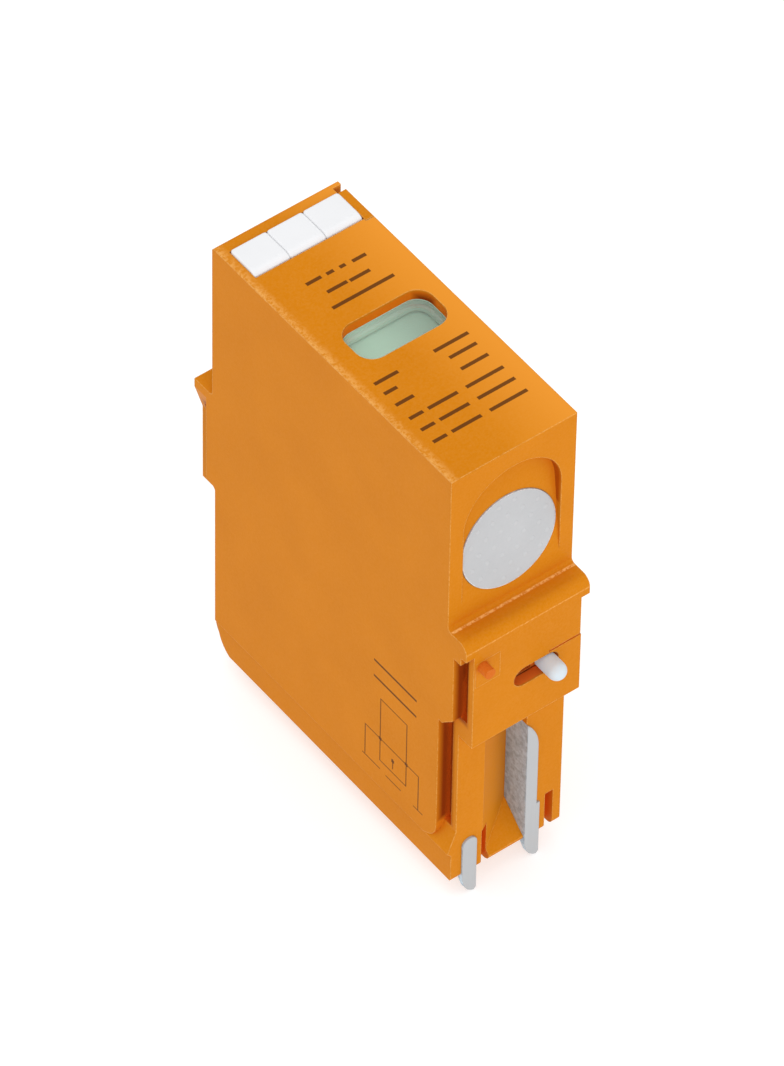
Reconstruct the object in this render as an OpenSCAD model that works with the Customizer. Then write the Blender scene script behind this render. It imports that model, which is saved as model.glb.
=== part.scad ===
// Plug-in surge arrester module: two-shell housing with finger grips, marker tags, status
// window, signal pin and contact blades, and the thermal disconnector that works them.
// Millimetres, +Z up. Z = 0 is the underside of the front shoulder, where the plug seats on its base.
// The signal pin points along -Y, which is the front.

/* [Housing] */
// Width across the two side faces
body_w = 17.5; // [17.3:0.1:18.2]
// Length of the upper body between its end faces
body_l = 44; // [43.6:0.1:45]
// Height of the top face above the seat
top_h = 27.1; // [26.6:0.1:29]
// Depth of the housing below the seat
low_h = 41.3; // [41:0.1:43]
// Length across the two shoulders
shoulder_l = 50.8; // [50.4:0.1:52]
// Height of the front shoulder
shoulder_t = 2.4; // [2:0.1:3]
// Height of the rear shoulder
rear_t = 1.3; // [1:0.1:2]
// Height of its underside above the seat
rear_lift = 1.2; // [0.8:0.1:1.6]
// Height of the gussets below its ends
gusset_h = 4.1; // [2:0.1:4.4]
// Radius along the rear edge of the top face
edge_r = 0.4; // [0.3:0.1:1]
// Radius in the corner above the shoulders
fillet_r = 0.6; // [0.3:0.1:0.9]
// Radius on the outer top edge of the front shoulder
shoulder_r = 1.3; // [0.6:0.1:1.8]
// Width of the end tongues and of the lower block
block_w = 15.2; // [15.1:0.1:15.6]
// Length of the lower block
block_l = 45.9; // [45.5:0.1:46.6]
// Depth of the front tongue below the seat
tongue_h = 15.5; // [15.2:0.1:17]
// Depth of the rear tongue below the seat
rear_tongue_h = 14.9; // [14.2:0.1:16]
// Width of the band round the foot of the housing
band_w = 16.5; // [16:0.1:17]
// Height of the slope above the band at the block's corners
band_rise = 3.2; // [1:0.1:3.4]
// Chamfer along the bottom edge of the band
band_c = 0.5; // [0.3:0.1:1]
// Radius of the rear bottom corner
rear_r = 4.1; // [2:0.1:4.6]
// Radius of the front bottom corner
front_r = 1; // [0.4:0.1:1.6]
// Thickness of the side walls
side_wall = 1.85; // [1.8:0.05:2]
// Thickness of the end walls beside the inner space
end_wall = 4.2; // [4.1:0.05:4.4]
// Thickness of the floor
floor_t = 1.8; // [1.4:0.1:2.2]
// Thickness of the roof over the indicator
roof_t = 3; // [2.8:0.1:3.2]

/* [Side pads] */
// Length of the raised side face beside the tongues
pad_hi_l = 46.4; // [46:0.1:46.8]
// Length of the raised side face lower down
pad_lo_l = 42.2; // [41:0.1:42.6]
// How far its lower part stands to the rear of the middle
pad_y = 0.4; // [0:0.05:0.5]
// Depth where the raised face steps in at the front
pad_step = 12.1; // [11:0.1:13]
// Depth where it steps in at the rear
rear_step = 12.7; // [11:0.1:13]
// Depth of the raised face below the seat
pad_h = 35.8; // [35.4:0.1:37]
// Radius of its lower front corner
pad_r = 3; // [1.5:0.1:4]
// Depth of the top of the guide grooves below the seat
guide_top = 1.3; // [0.8:0.1:2]
// Thickness of the wall in front of the guide grooves
guide_wall = 0.95; // [0.8:0.05:1.1]
// Depth of the guide grooves below the block side
guide_d = 0.8; // [0.4:0.05:0.9]

/* [Cover] */
// How far the cover plate reaches past the inner space
cover_lap = 0.8; // [0.6:0.05:1]
// Gap round the cover plate
cover_gap = 0.06; // [0.02:0.01:0.15]
// Width of the notch behind the cover's marker lip
lip_notch = 0.95; // [0.5:0.05:1.2]

/* [Finger grips] */
// Radius of the arch over the finger scoop
scoop_r = 6.85; // [6.7:0.05:7.4]
// Height of the arch centre above the seat
scoop_z = 17.1; // [16.5:0.1:17.4]
// Tilt of the scoop floor
scoop_tilt = 6.06; // [4:0.02:6.5]
// Height where the floor runs out into the end face
scoop_foot = 5.6; // [5.2:0.1:7]
// Radius of the grip disc
disc_r = 6.56; // [6:0.02:6.6]
// Height of the disc centre above the seat
disc_z = 11.5; // [11:0.1:12.5]
// Thickness of the disc
disc_t = 1; // [0.8:0.05:1.2]
// How far the disc stands proud of the scoop floor
disc_proud = 0.14; // [0.05:0.01:0.3]
// Gap round the disc
disc_gap = 0.05; // [0.02:0.01:0.1]
// Radius of the disc's peg
peg_r = 1.5; // [1:0.1:2]
// Length of the disc's peg
peg_l = 0.9; // [0.5:0.05:1]

/* [Marker tags] */
// Pitch of the tags
tag_pitch = 5.05; // [5:0.01:5.1]
// Gap between neighbouring tags
tag_gap = 0.1; // [0.05:0.01:0.2]
// Length of a tag
tag_l = 4.9; // [4.6:0.1:5.1]
// Front edge of the tags from the middle of the housing
tag_y = 15.4; // [15:0.1:15.6]
// Depth of the tag recess
tag_depth = 2.1; // [2:0.05:2.3]
// Thickness of the wall under the tags
tag_wall = 3.4; // [3.2:0.1:3.6]
// How far the tags stand above the top face
tag_proud = 0.3; // [0:0.05:0.5]
// Radius along the front edge of a tag
tag_r = 1.1; // [0.4:0.1:1.6]
// Radius of a tag's foot
foot_r = 0.9; // [0.6:0.05:1.2]
// Length of a tag's foot
foot_l = 1.2; // [0.6:0.1:1.4]

/* [Window] */
// Width of the window pocket
window_w = 12.2; // [11.4:0.1:12.4]
// Length of the window pocket
window_l = 6.2; // [5.8:0.05:6.3]
// Middle of the window across the housing
window_x = 0.6; // [0.3:0.05:0.65]
// Middle of the window along the housing
window_y = 0.55; // [0.3:0.05:0.7]
// Corner radius of the window pocket
window_r = 2.2; // [1.2:0.1:2.6]
// Depth from the top face to the lens
window_d = 1.5; // [1.1:0.1:1.6]
// Thickness of the lens
lens_t = 0.9; // [0.7:0.05:1]
// Gap round the lens
lens_gap = 0.04; // [0.02:0.01:0.1]
// Width of the step that carries the lens
lens_step = 0.45; // [0.4:0.05:0.9]

/* [Signal pin] */
// Radius of the pin
pin_r = 1.2; // [1:0.05:1.3]
// Where the pin stands across the housing when the arrester is good
pin_x = 3.1; // [2.9:0.1:3.2]
// Depth of the pin below the seat
pin_z = 8; // [7.8:0.05:8.1]
// How far the pin stands out of the front tongue
pin_out = 2.7; // [2:0.1:4]
// Travel of the pin
pin_travel = 3.4; // [3:0.05:3.5]
// Gap above and below the pin in its slot
slot_gap = 0.28; // [0.2:0.02:0.34]
// Thickness of the tongue wall in front of the slider
tongue_wall = 1.5; // [1.4:0.05:1.6]
// Thickness of the slider
slider_t = 2.4; // [2:0.1:2.6]
// Height of the slider's tail
slider_h = 1.1; // [1:0.1:1.2]
// Thickness of the cam foot below the slider
cam_t = 1; // [0.8:0.05:1.1]
// Distance from the pin across to its follower peg
follower_x = 4.1; // [3.9:0.1:4.2]
// Depth of the seam beside the slot below the seat
seam_z = 6.05; // [5.8:0.05:6.3]
// Gap round the sliding pieces
slide_gap = 0.2; // [0.1:0.05:0.25]
// Radius of the follower peg under the slider
cam_r = 0.7; // [0.5:0.05:0.8]
// Gap round the follower peg
cam_gap = 0.06; // [0.03:0.01:0.1]

/* [Coding key] */
// Width of the key block
key_w = 3.4; // [3:0.1:3.6]
// Height of the key block
key_h = 4; // [3:0.1:4.2]
// Depth of the key block in the tongue
key_d = 1; // [0.6:0.1:1.1]
// Middle of the key block across the housing
key_x = -5.6; // [-5.8:0.1:-5.3]
// Depth of its middle below the seat
key_z = 3.3; // [2.8:0.1:3.3]
// Radius of the key's pin
key_r = 0.72; // [0.5:0.02:0.8]
// Middle of the key's pin across the housing
key_pin_x = -6.4; // [-6.5:0.1:-5]
// Depth of the key's pin below the seat
key_pin_z = 2.1; // [2.1:0.1:4]
// Length of the key's pin
key_l = 1.5; // [0.6:0.05:2]

/* [Contact blades] */
// Inner face of the line blades from the middle of the housing
blade_x = 2.3; // [2.2:0.05:2.4]
// Thickness of the line blades
blade_t = 1.6; // [1.4:0.05:1.65]
// How far the blades stand out of the end faces
blade_out = 0.28; // [0.1:0.02:1]
// Depth of the top of the outer edge below the seat
blade_top = 20; // [18:0.1:22]
// Radius of the outer edge's upper corner
nose_r = 6.9; // [5:0.1:8]
// Depth of that corner below the top of the edge
nose_h = 5; // [3:0.1:5.4]
// How far the tails reach below the housing
tail_h = 3; // [2.8:0.1:3.6]
// Extra thickness of the tails
tail_t = 0.45; // [0.2:0.05:0.6]
// Depth where the tails grow thicker
tail_z = 35.3; // [34:0.1:36]
// Half height of the lug that carries an arm
lug_w = 3; // [2.4:0.1:3.2]
// How far above the pocket's ramp a blade's riser starts
riser_lo = 4.6; // [4.5:0.1:5]
// Depth of the contact pocket beside a line blade
pocket_d = 3.7; // [2:0.05:3.75]
// Width of the contact pocket
pocket_w = 6; // [4:0.1:6.2]
// Depth below the seat where the pocket's ramp meets the end face
ramp_z = 40.3; // [39.6:0.1:40.3]
// Height of the pocket's ramp
ramp_h = 3.7; // [2.5:0.1:4]
// Middle of the earth blade across the housing
earth_x = -5.7; // [-5.8:0.05:-5.5]
// Thickness of the earth blade
earth_t = 2; // [1.6:0.05:2.1]
// Depth of the top of the earth blade below the seat
earth_top = 34.7; // [34:0.1:35.2]
// Width of the two notches in the foot of the end face
notch_w = 1.15; // [0.8:0.05:1.4]
// Height of the notches
notch_h = 6.4; // [4:0.1:6.6]
// Depth of the notches
notch_d = 1.5; // [0.8:0.1:2]
// Middle of the first notch across the housing
notch_a = -3.25; // [-3.4:0.05:-3.1]
// Middle of the second notch across the housing
notch_b = 5.9; // [5.7:0.05:6]

/* [Varistors] */
// Length of a varistor block
mov_l = 29; // [26:0.2:29.4]
// Height of a varistor block
mov_h = 26; // [24:0.2:26.2]
// Thickness of a varistor block
mov_t = 4.4; // [4:0.05:4.5]
// Height of the varistors above the floor
mov_lift = 1.3; // [1.2:0.05:1.5]
// Thickness of the plate between the varistors
mid_t = 0.8; // [0.6:0.05:0.9]
// Thickness of the outer plates
plate_t = 0.5; // [0.4:0.05:0.6]
// Gap between the saddle and the side walls
saddle_gap = 0.05; // [0.03:0.01:0.1]

/* [Disconnector] */
// Thickness of the arms
arm_t = 1.2; // [1:0.05:1.3]
// Width of the arms
arm_w = 2.4; // [2:0.1:2.6]
// Length of an arm above its pivot
arm_up = 12.5; // [12:0.1:12.8]
// Length of an arm below its pivot
arm_down = 8; // [7:0.1:8.5]
// Height of the pivots above the seat
pivot_z = 5.5; // [5:0.1:5.7]
// Radius of the pivot rivets
pivot_r = 1; // [0.8:0.05:1.2]
// Running gap of the arms on the rivets
pivot_gap = 0.05; // [0.02:0.01:0.09]
// Pivot of the front arm along the housing
arm_a_y = -11; // [-11.3:0.1:-10.8]
// Pivot of the rear arm along the housing
arm_b_y = 8; // [7.8:0.1:8.1]
// Thickness of the solder joints
solder_t = 0.5; // [0.3:0.05:0.7]
// Gap beside the arms
arm_gap = 0.1; // [0.06:0.01:0.12]
// Gap left at the soldered end of an arm
solder_gap = 0.15; // [0.1:0.01:0.25]

/* [Indicator] */
// Travel of the indicator
flag_travel = 5.6; // [5.5:0.02:5.7]
// Thickness of the indicator plate
flag_t = 1.2; // [1:0.05:1.3]
// Thickness of the indicator's lugs, leg and stop
lug_t = 1.4; // [1.2:0.05:1.5]
// Gap between the arms and the indicator's lugs
lug_gap = 0.12; // [0.08:0.01:0.2]
// Thickness of the red panel
panel_t = 0.9; // [0.6:0.05:1]
// Length of the pressed trip spring
spring_l = 4.7; // [4.2:0.1:5]
// Radius of the trip spring
coil_r = 1.5; // [1.2:0.05:1.8]
// Radius of the spring wire
wire_r = 0.25; // [0.15:0.01:0.3]
// Turns of the trip spring
coil_n = 4.5; // [3:0.5:5]

/* [Hidden] */
$fn = 64;
orange = [0.88, 0.5, 0.12];
grey = [0.8, 0.81, 0.82];
tin = [0.72, 0.73, 0.74];
hw = body_w / 2;
hl = body_l / 2;
sl = shoulder_l / 2;
bw = block_w / 2;
bl = block_l / 2;
ph = pad_hi_l / 2;
pf = pad_lo_l / 2 - pad_y;
pr = pad_lo_l / 2 + pad_y;
cav_x = hw - side_wall;
cav_y = hl - end_wall;
cav_lo = -low_h + floor_t;
cav_hi = top_h - roof_t;
tag_zone = tag_y - 1.6;
step_x = bw + 0.12;
tag_z = top_h - tag_depth;
tag_w = tag_pitch - tag_gap;
tag_x = 1.5 * tag_pitch + 0.02;
cover_lo = -pad_h + 1.3;
lip_x = tag_x + 0.05;
lip_y0 = tag_y - 0.3;
lip_y1 = tag_y + tag_l;
ca = cos(scoop_tilt);
lens_lo = top_h - window_d - lens_t;
slot_r = pin_r + slot_gap;
room_y = -sl + tongue_wall;
slider_top = -pin_z + 2;
slider_lo = -pin_z - slot_r - slider_h - 0.1;
cam_top = slider_lo - slide_gap;
room_hi = slider_top + slide_gap;
room_lo = cam_top - cam_t - slide_gap;
cam_x = pin_x - follower_x;
cam_y = -cav_y + 1;
room_x0 = cam_x - pin_travel - cam_r - 1;
room_x1 = pin_x + pin_r + 0.6;
yb = -bl - blade_out;
blade_x1 = blade_x + blade_t;
tz = -low_h - tail_h;
riser_y0 = -cav_y + 0.2;
riser_y1 = -mov_l / 2 - 0.5;
mov_lo = cav_lo + mov_lift;
mov_hi = mov_lo + mov_h;
mov_x0 = mid_t / 2;
mov_x1 = mov_x0 + mov_t;
plate_x1 = mov_x1 + plate_t;
saddle_x1 = cav_x - saddle_gap;
saddle_x0 = plate_x1 + arm_gap;
arm_x0 = blade_x1 + arm_gap;
arm_x1 = arm_x0 + arm_t;
swing = asin(flag_travel / 2 / arm_up);
nose_dy = -arm_up * sin(swing);
heel_dy = arm_down * sin(swing);
heel_dz = -arm_down * cos(swing);
flag_hi = cav_hi - 0.3;
flag_lo = flag_hi - flag_t;
panel_hi = flag_lo - 0.2;
panel_lo = panel_hi - panel_t;
bridge_y0 = window_y - window_l / 2 + lens_step - 0.6;
bridge_y1 = window_y + window_l / 2 - lens_step + 0.6;
bridge_t = 1.2;
hole_y1 = window_y - window_l / 2 + lens_step - 0.35;
hole_y0 = hole_y1 - window_l + 2 * lens_step - 0.7;
lug_y = nose_dy + arm_w / 2 + lug_gap;
flag_y1 = arm_b_y + lug_y + lug_t;
coil_x = 0;
coil_z = flag_lo - 3 * coil_r - 0.2;
coil_y0 = -cav_y;
stop_y = coil_y0 + spring_l;
lug_lo = pivot_z + arm_up - arm_w / 2 - 0.2;
tab_y = heel_dy + arm_w / 2 + solder_gap + solder_t;

// Box between two corners
module box(x0, x1, y0, y1, z0, z1) {
  translate([x0, y0, z0]) cube([x1 - x0, y1 - y0, z1 - z0]);
}

// Side view outline, drawn as Y and Z, made thick along X
module yz(x0, x1) {
  translate([x0, 0, 0]) rotate([90, 0, 90]) linear_extrude(x1 - x0) children();
}

// End view outline, drawn as X and Z, made thick along Y
module xz(y0, y1) {
  translate([0, y1, 0]) rotate([90, 0, 0]) linear_extrude(y1 - y0) children();
}

// Round bar along X
module xbar(x0, x1, y, z, r) {
  translate([x0, y, z]) rotate([0, 90, 0]) cylinder(h = x1 - x0, r = r);
}

// Round bar along Y
module ybar(y0, y1, x, z, r) {
  translate([x, y1, z]) rotate([90, 0, 0]) cylinder(h = y1 - y0, r = r);
}

// Front shape and the same shape turned to the rear
module both_ends() {
  children();
  rotate([0, 0, 180]) children();
}

// Front shape and its mirror image at the rear
module mirrored_ends() {
  children();
  mirror([0, 1, 0]) children();
}

// Rectangle with round corners
module round_rect(w, l, r) {
  square([w - 2 * r, l], center = true);
  square([w, l - 2 * r], center = true);
  for (sx = [-1, 1])
    for (sy = [-1, 1])
      translate([sx * (w / 2 - r), sy * (l / 2 - r)]) circle(r);
}

// Outline of the lower block with its round bottom corners
module low_outline(y0, y1) {
  translate([y0, rear_r - low_h]) square([y1 - y0, low_h - rear_r]);
  translate([y0 + front_r, -low_h]) square([y1 - y0 - front_r - rear_r, rear_r + 1]);
  translate([y0, front_r - low_h]) square([front_r + 1, rear_r]);
  translate([y0 + front_r, front_r - low_h]) circle(front_r);
  translate([y1 - rear_r, rear_r - low_h]) circle(rear_r);
}

// Front shoulder with its round top edge
module front_shoulder() {
  yz(-hw, hw) {
    translate([-sl, 0]) square([sl, shoulder_t - shoulder_r]);
    translate([shoulder_r - sl, 0]) square([sl - shoulder_r, shoulder_t]);
    translate([shoulder_r - sl, shoulder_t - shoulder_r]) circle(shoulder_r);
  }
}

// Rear shoulder with the gussets below its ends
module rear_shoulder() {
  z0 = rear_lift - gusset_h;
  z1 = rear_lift + rear_t;
  xz(0, sl) polygon([[-hw, z1], [-hw, rear_lift], [-bw, z0], [bw, z0], [hw, rear_lift], [hw, z1]]);
}

// Hollow fillet between the front end face and a shoulder at height z
module fillet(z) {
  difference() {
    box(-hw, hw, -hl - fillet_r, -hl + 0.2, z - 0.2, z + fillet_r);
    xbar(-hw - 1, hw + 1, -hl - fillet_r, z + fillet_r, fillet_r);
  }
}

// Outline of the raised side face below the seat
module pad_outline() {
  drop = pad_step + ph - pf;
  polygon([[-ph, 1], [-ph, -pad_step], [-pf, -drop], [-pf, pad_r - pad_h], [pad_r - pf, -pad_h], [pr, -pad_h],
    [pr, -rear_step - 0.4], [pr + 0.4, -rear_step], [ph, -rear_step], [ph, rear_lift + 0.1]]);
  translate([pad_r - pf, pad_r - pad_h]) circle(pad_r);
}

// Outer form of the housing before anything is cut
module housing_block() {
  yz(-hw, hw) {
    translate([-hl, 0]) square([2 * hl, top_h - edge_r]);
    translate([-hl, 0]) square([2 * hl - edge_r, top_h]);
    translate([hl - edge_r, top_h - edge_r]) circle(edge_r);
  }
  front_shoulder();
  rear_shoulder();
  fillet(shoulder_t);
  mirror([0, 1, 0]) fillet(rear_lift + rear_t);
  yz(-hw, hw) pad_outline();
  box(-bw, bw, -sl, 0, -tongue_h, 0.5);
  box(-bw, bw, 0, sl, -rear_tongue_h, 0.5);
  box(-hw, hw, guide_wall - sl, 0, -guide_top, 0.5);
  yz(-bw, bw) low_outline(-bl, bl);
  box(0, step_x, -sl, -sl + 1.6, -tongue_h, -seam_z);
  intersection() {
    union() {
      yz(-hw, 0) low_outline(-bl, pr);
      yz(-0.1, hw) low_outline(-pf, bl);
    }
    xz(-bl, bl) polygon([[-hw, -pad_h], [-band_w / 2, -pad_h - hw + band_w / 2],
      [-band_w / 2, band_c - low_h], [band_c - band_w / 2, -low_h], [band_w / 2 - band_c, -low_h],
      [band_w / 2, band_c - low_h], [band_w / 2, -pad_h - hw + band_w / 2], [hw, -pad_h],
      [bw, band_rise - pad_h], [-bw, band_rise - pad_h]]);
  }
}

// Space for the varistors, the disconnector and the slider
module inner_space() {
  box(-cav_x, cav_x, -cav_y, cav_y, cav_lo, tag_z - tag_wall);
  box(-cav_x, cav_x, -cav_y, tag_zone, cav_lo, cav_hi);
  box(room_x0, room_x1, room_y, -cav_y + 1, room_lo, room_hi);
}

// Side opening that takes the cover, with the slot for its marker lip
module cover_seat(g) {
  reach = cav_y + cover_lap + g;
  box(cav_x, hw + g, -reach, reach, cover_lo - g, cav_hi + cover_lap + g);
  box(lip_x - g, hw + g, lip_y0 - g, lip_y1 + g, cav_hi, top_h + g);
}

// Tilted finger scoop in the front end
module scoop() {
  up = (scoop_z - scoop_foot) / ca;
  translate([0, -hl, scoop_foot]) rotate([-scoop_tilt, 0, 0]) {
    ybar(-end_wall, 0, 0, up, scoop_r);
    box(-scoop_r, scoop_r, -end_wall, 0, 0, up);
  }
}

// Grip disc with its peg, grown by g for its seat
module disc_shape(g) {
  up = (disc_z - scoop_foot) / ca;
  translate([0, -hl, scoop_foot]) rotate([-scoop_tilt, 0, 0]) {
    ybar(-disc_proud - 3 * g, disc_t - disc_proud, 0, up, disc_r + g);
    ybar(0.3, disc_t - disc_proud + peg_l, 0, up, peg_r + g);
  }
}

// Window pocket with the opening below its lens
module window_cut() {
  translate([window_x, window_y, lens_lo]) linear_extrude(top_h) round_rect(window_w, window_l, window_r);
  translate([window_x, window_y, cav_hi - 1]) linear_extrude(top_h - cav_hi)
    round_rect(window_w - 2 * lens_step, window_l - 2 * lens_step, window_r - lens_step);
}

// Round ended slot for the signal pin
module slot_cut() {
  x0 = pin_x - pin_travel;
  ybar(-sl - 1, room_y + 1, x0, -pin_z, slot_r);
  ybar(-sl - 1, room_y + 1, pin_x, -pin_z, slot_r);
  box(x0, pin_x, -sl - 1, room_y + 1, -pin_z - slot_r, -pin_z + slot_r);
}

// Fine seam from the slot to the edge of the tongue
module seam_cut() {
  box(pin_x, bw + 1, -sl - 1, -sl + 0.3, -seam_z - 0.25, -seam_z);
}

// Key block in the front tongue, reaching g past its face
module key_block(g) {
  translate([key_x, 0, -key_z])
    box(-key_w / 2, key_w / 2, -sl - g, -sl + key_d, -key_h / 2, key_h / 2);
}

// Guide grooves between the side pad and the end walls
module guides(edge) {
  x1 = bw - guide_d;
  for (s = [0, 1])
    mirror([s, 0, 0]) {
      box(-hw - 1, -x1, -sl + guide_wall, -ph, -pad_step, -guide_top);
      box(-hw - 1, -x1, -bl + guide_wall, -edge, -pad_h + pad_r + 0.6, -pad_step - 1.9);
    }
}

// Sloped pocket on the inner side of a line blade
module pocket() {
  intersection() {
    translate([0, 0, -low_h]) linear_extrude(low_h)
      polygon([[blade_x - pocket_w, -bl], [blade_x, pocket_d - bl], [blade_x, -sl],
        [blade_x - pocket_w, -sl]]);
    yz(-hw, hw) polygon([[-sl, -tongue_h], [pocket_d - bl, -tongue_h], [pocket_d - bl, ramp_h - ramp_z],
      [-bl, -ramp_z], [-sl, -ramp_z]]);
  }
}

// End view of a tail with its coined tip, as wide as the blade between x0 and x1
module tail_outline(x0, x1) {
  polygon([[x0, top_h], [x0, tz + 2.7], [x0 + 0.3, tz + 1.4], [x0 + 0.7, tz + 0.7], [x0 + 1.3, tz + 0.2],
    [x1 - 0.35, tz], [x1, tz + 0.35], [x1, top_h]]);
}

// Clears the rounded upper corner of a line blade's outer edge
module nose_cut() {
  z0 = -blade_top - nose_h;
  difference() {
    box(blade_x1 - nose_r, blade_x1 + 1, yb - 1, yb + 1.2, z0, z0 + nose_r);
    ybar(yb - 2, yb + 2, blade_x1 - nose_r, z0, nose_r);
  }
}

// Flat line blade: tail, outer edge, riser and the lug that carries its arm
module blade_shape(py) {
  x2 = blade_x1 + tail_t;
  difference() {
    intersection() {
      union() {
        yz(blade_x, blade_x1) polygon([[yb, tz], [yb + 0.4, tz], [yb + 0.85, -low_h],
          [yb + 1.6, 0.8 - low_h], [yb + 1.6, 0.9 - ramp_z], [riser_y1, riser_lo - ramp_z],
          [riser_y1, pivot_z - lug_w], [py + 2, pivot_z - lug_w], [py + 2, pivot_z + lug_w],
          [riser_y0, pivot_z + lug_w], [riser_y0, -blade_top], [yb + 0.7, -blade_top],
          [yb, -blade_top - 0.7]]);
        yz(blade_x1 - 0.1, x2) polygon([[yb, tz], [yb + 0.4, tz], [yb + 0.85, -low_h],
          [yb + 1.6, 0.8 - low_h], [yb + 1.6, -tail_z], [yb, -tail_z]]);
      }
      xz(yb - 1, hl) tail_outline(blade_x, x2);
    }
    nose_cut();
  }
}

// Earth blade with the bar that reaches the plate between the varistors
module earth_shape() {
  x0 = earth_x - earth_t / 2;
  x1 = earth_x + earth_t / 2;
  y1 = riser_y1 - 0.7;
  z1 = -earth_top - earth_t / 2;
  intersection() {
    yz(x0, x1) polygon([[yb, tz], [yb + 0.4, tz], [yb + 0.85, -low_h], [yb + 1.6, 0.8 - low_h],
      [yb + 1.6, cav_lo + 0.4], [y1, cav_lo + 0.4], [y1, z1], [yb, z1]]);
    xz(yb - 1, hl) tail_outline(x0, x1);
  }
  ybar(yb, yb + 2.4, earth_x, z1, earth_t / 2);
  box(x1 - 0.1, -mid_t / 2, y1 - 1.4, y1, cav_lo + 0.4, z1);
}

module housing() {
  color(orange) difference() {
    housing_block();
    inner_space();
    cover_seat(cover_gap);
    box(lip_x - cover_gap, hw + 1, lip_y1, lip_y1 + lip_notch, cav_hi, top_h + 1);
    box(-tag_x, tag_x + 0.5, tag_y, tag_y + tag_l + 0.04, tag_z, top_h + 1);
    for (i = [-1:1])
      translate([i * tag_pitch, tag_y + tag_l / 2, tag_z - foot_l - 0.1])
        cylinder(h = foot_l + 1, r = foot_r + 0.04);
    window_cut();
    mirrored_ends() scoop();
    mirrored_ends() disc_shape(disc_gap);
    slot_cut();
    seam_cut();
    key_block(1);
    guides(pf);
    mirror([0, 1, 0]) guides(pr);
    both_ends() pocket();
    both_ends() blade_shape(arm_a_y);
    earth_shape();
    both_ends()
      for (x = [notch_a, notch_b])
        box(x - notch_w / 2, x + notch_w / 2, -bl - 1, -bl + notch_d, -low_h - 1, notch_h - low_h);
  }
}

module cover() {
  color(orange) cover_seat(0);
}

// Marker tag with a round front edge and a foot
module marker_tag(i) {
  y1 = tag_y + tag_l;
  z1 = top_h + tag_proud;
  color([0.93, 0.93, 0.92]) {
    yz(i * tag_pitch - tag_w / 2, i * tag_pitch + tag_w / 2) {
      translate([tag_y, tag_z]) square([tag_l, z1 - tag_r - tag_z]);
      translate([tag_y + tag_r, tag_z]) square([tag_l - tag_r - 0.4, z1 - tag_z]);
      translate([tag_y + tag_r, z1 - tag_r]) circle(tag_r);
      polygon([[y1 - 0.5, tag_z], [y1, tag_z], [y1, z1 - 0.5], [y1 - 0.5, z1]]);
    }
    translate([i * tag_pitch, tag_y + tag_l / 2, tag_z - foot_l]) cylinder(h = foot_l + 0.5, r = foot_r);
  }
}

module marker_tag_1() {
  marker_tag(-1);
}

module marker_tag_2() {
  marker_tag(0);
}

module marker_tag_3() {
  marker_tag(1);
}

module window_lens() {
  g = lens_gap;
  color([0.75, 0.82, 0.74]) translate([window_x, window_y, lens_lo]) linear_extrude(lens_t)
    round_rect(window_w - 2 * g, window_l - 2 * g, window_r - g);
}

module grip_disc_front() {
  color(grey) disc_shape(0);
}

module grip_disc_rear() {
  color(grey) mirror([0, 1, 0]) disc_shape(0);
}

module coding_key() {
  color([0.86, 0.4, 0.1]) {
    key_block(0);
    ybar(-sl - key_l, -sl + 0.2, key_pin_x, -key_pin_z, key_r);
  }
}

// Slider with the signal pin in front and the follower peg below its tail
module signal_pin() {
  x0 = cam_x - cam_r - 0.1;
  y0 = room_y + slide_gap;
  color(grey) {
    box(pin_x - pin_r, pin_x + pin_r, y0, y0 + slider_t, slider_lo, slider_top);
    box(x0, pin_x + pin_r, y0, y0 + slider_t, slider_lo, slider_lo + slider_h);
    box(x0, cam_x + cam_r + 0.1, y0, cam_y + cam_r, slider_lo, slider_lo + slider_h);
    ybar(-sl - pin_out + pin_r, y0 + 1, pin_x, -pin_z, pin_r);
    translate([pin_x, -sl - pin_out + pin_r, -pin_z]) rotate([90, 0, 0]) rotate_extrude()
      intersection() {
        circle(pin_r);
        square(pin_r);
      }
    translate([cam_x, cam_y, cam_top - cam_t + 0.1]) cylinder(h = cam_t + 0.4, r = cam_r);
  }
}

// Plate with the green field, lugs for the arms, and a leg whose foot drives the slider
module indicator_slide() {
  w = cav_x - slide_gap;
  x0 = room_x0 + slide_gap;
  view = window_w / 2 - lens_step;
  leg_y = -cav_y + slide_gap;
  cut = cam_r + cam_gap;
  tilt = atan(pin_travel / flag_travel);
  run = norm([pin_travel, flag_travel]);
  color([0.2, 0.58, 0.25]) {
    difference() {
      box(-w, w, leg_y, flag_y1, flag_lo, flag_hi);
      box(-view, view + window_x, hole_y0, hole_y1, flag_lo - 1, flag_hi + 1);
    }
    box(arm_x0, arm_x1, arm_a_y + lug_y, arm_a_y + lug_y + lug_t, lug_lo, flag_lo + 0.2);
    box(-arm_x1, -arm_x0, arm_b_y + lug_y, arm_b_y + lug_y + lug_t, lug_lo, flag_lo + 0.2);
    box(coil_x - coil_r, coil_x + coil_r, stop_y, stop_y + lug_t, coil_z - coil_r, flag_lo + 0.2);
    box(x0, cam_x - 1.8, leg_y, leg_y + lug_t, cam_top - cam_t, flag_lo + 0.2);
    difference() {
      box(x0, cam_x + cam_r + 0.8, room_y + slide_gap, leg_y + 2.3, cam_top - cam_t, cam_top);
      translate([cam_x, cam_y, cam_top - cam_t - 1]) rotate([0, 0, -tilt]) {
        cylinder(h = cam_t + 2, r = cut);
        translate([0, -run, 0]) cylinder(h = cam_t + 2, r = cut);
        translate([-cut, -run, 0]) cube([2 * cut, run, cam_t + 2]);
      }
    }
  }
}

module fault_panel() {
  color([0.75, 0.12, 0.1])
    box(-saddle_x1, saddle_x1, bridge_y0 + 0.1, bridge_y1 - 0.1, panel_lo, panel_hi);
}

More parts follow.
